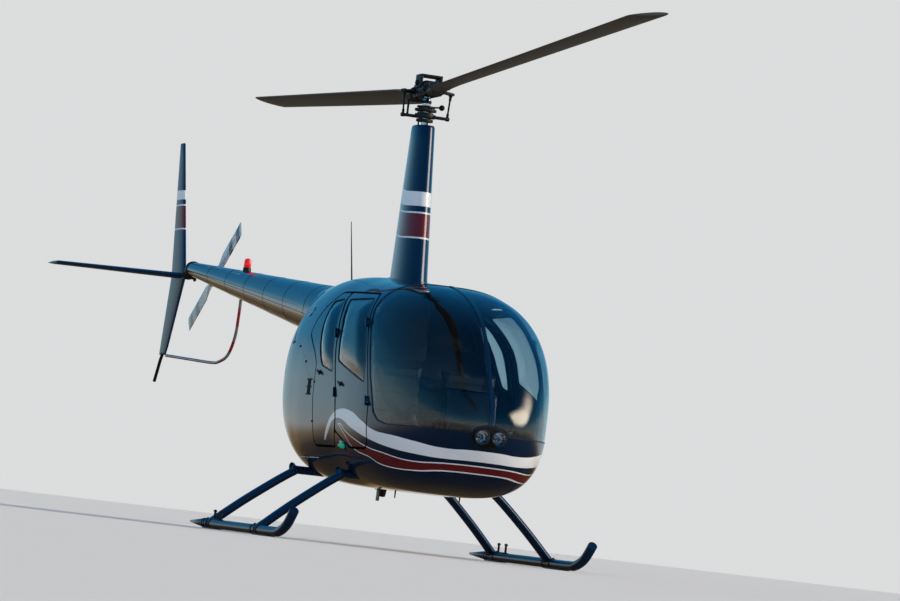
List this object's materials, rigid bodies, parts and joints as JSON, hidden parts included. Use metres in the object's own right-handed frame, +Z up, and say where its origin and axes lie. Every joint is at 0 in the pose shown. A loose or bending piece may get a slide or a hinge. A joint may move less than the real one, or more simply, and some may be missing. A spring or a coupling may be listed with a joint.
{
  "type": "light helicopter",
  "caption": "Light four-seat helicopter on skids, with a two-blade main rotor on a tall mast, a tail boom and a two-blade tail rotor.",
  "frame": {"origin": "middle of the whole footprint, on the floor under the skids", "axes": "+X to port, +Y towards the tail, +Z up"},
  "size_m": [2.124, 11.646, 3.3931],
  "materials": {
    "paint_navy": "gloss",
    "paint_white": "gloss",
    "stripe_maroon": "gloss",
    "gear_paint": "gloss",
    "blade_paint": "satin",
    "bare_metal": "satin",
    "dark_metal": "satin",
    "window_glass": "clear, lightly tinted",
    "lamp_glass": "clear",
    "lamp_red": "clear red",
    "lamp_green": "clear green",
    "upholstery": "soft",
    "cabin_trim": "matte",
    "black_plastic": "matte",
    "rubber": "matte"
  },
  "bodies": {
    "airframe": {"front_cross_tube": "gear_paint", "rear_cross_tube": "gear_paint", "skid_left": "gear_paint", "skid_right": "gear_paint", "lower_hull": "paint_navy", "landing_lamp_left": "lamp_glass", "landing_lamp_right": "lamp_glass", "upper_cowl": "paint_navy", "side_cowl_left": "paint_navy", "side_cowl_right": "paint_navy", "tail_boom": "paint_navy", "door_post_left": "paint_navy", "door_post_right": "paint_navy", "roof_frame": "paint_navy", "windshield_bow": "paint_navy", "windshield_left": "window_glass", "windshield_right": "window_glass", "cabin_floor": "cabin_trim", "cabin_bulkhead": "upholstery", "front_seat_base": "cabin_trim", "front_seat_left": "upholstery", "front_seat_right": "upholstery", "rear_seat_base": "cabin_trim", "rear_seat_left": "upholstery", "rear_seat_right": "upholstery", "instrument_pedestal": "black_plastic", "control_stick": "black_plastic", "engine": "bare_metal", "fan_scroll": "paint_white", "exhaust": "bare_metal", "mast_fairing": "paint_navy", "whip_aerial": "black_plastic", "beacon": "lamp_red", "nav_lamp_left": "lamp_red", "nav_lamp_right": "lamp_green", "upper_fin": "paint_navy", "lower_fin": "paint_navy", "tail_guard": "bare_metal", "stabiliser": "paint_navy", "tail_gearbox": "dark_metal"},
    "main_rotor": {"rotor_shaft": "bare_metal", "rotor_hub": "dark_metal", "main_blade_front": "blade_paint", "pitch_link_front": "bare_metal", "main_blade_rear": "blade_paint", "pitch_link_rear": "bare_metal", "swashplate": "dark_metal"},
    "tail_rotor": {"tail_rotor_hub": "bare_metal", "tail_blade_up": "blade_paint", "tail_blade_down": "blade_paint"},
    "front_door_left": {"front_door_left": "paint_navy", "front_window_left": "window_glass"},
    "front_door_right": {"front_door_right": "paint_navy", "front_window_right": "window_glass"},
    "rear_door_left": {"rear_door_left": "paint_navy", "rear_window_left": "window_glass"},
    "rear_door_right": {"rear_door_right": "paint_navy", "rear_window_right": "window_glass"}
  },
  "joints": [
    {"name": "main_rotor_spin", "type": "hinge", "parent": "airframe", "child": "main_rotor", "pos_m": [0, -0.79503, 2.9], "axis": [0, 0, 1], "continuous": true},
    {"name": "tail_rotor_spin", "type": "hinge", "parent": "airframe", "child": "tail_rotor", "pos_m": [0.165, 5.09797, 1.985], "axis": [1, 0, 0], "continuous": true},
    {"name": "front_door_left_hinge", "type": "hinge", "parent": "airframe", "child": "front_door_left", "pos_m": [0.622, -2.23203, 0.952], "axis": [0.0411, -0.4537, -0.8902], "range_deg": [0, 80]},
    {"name": "front_door_right_hinge", "type": "hinge", "parent": "airframe", "child": "front_door_right", "pos_m": [-0.622, -2.23203, 0.952], "axis": [0.0411, 0.4537, 0.8902], "range_deg": [0, 80]},
    {"name": "rear_door_left_hinge", "type": "hinge", "parent": "airframe", "child": "rear_door_left", "pos_m": [0.652, -1.59003, 1], "axis": [0.0454, -0.4156, -0.9084], "range_deg": [0, 80]},
    {"name": "rear_door_right_hinge", "type": "hinge", "parent": "airframe", "child": "rear_door_right", "pos_m": [-0.652, -1.59003, 1], "axis": [0.0454, 0.4156, 0.9084], "range_deg": [0, 80]}
  ],
  "couplings": [
    {"joint": "tail_rotor_spin", "follows": "main_rotor_spin", "ratio": -5.95}
  ]
}
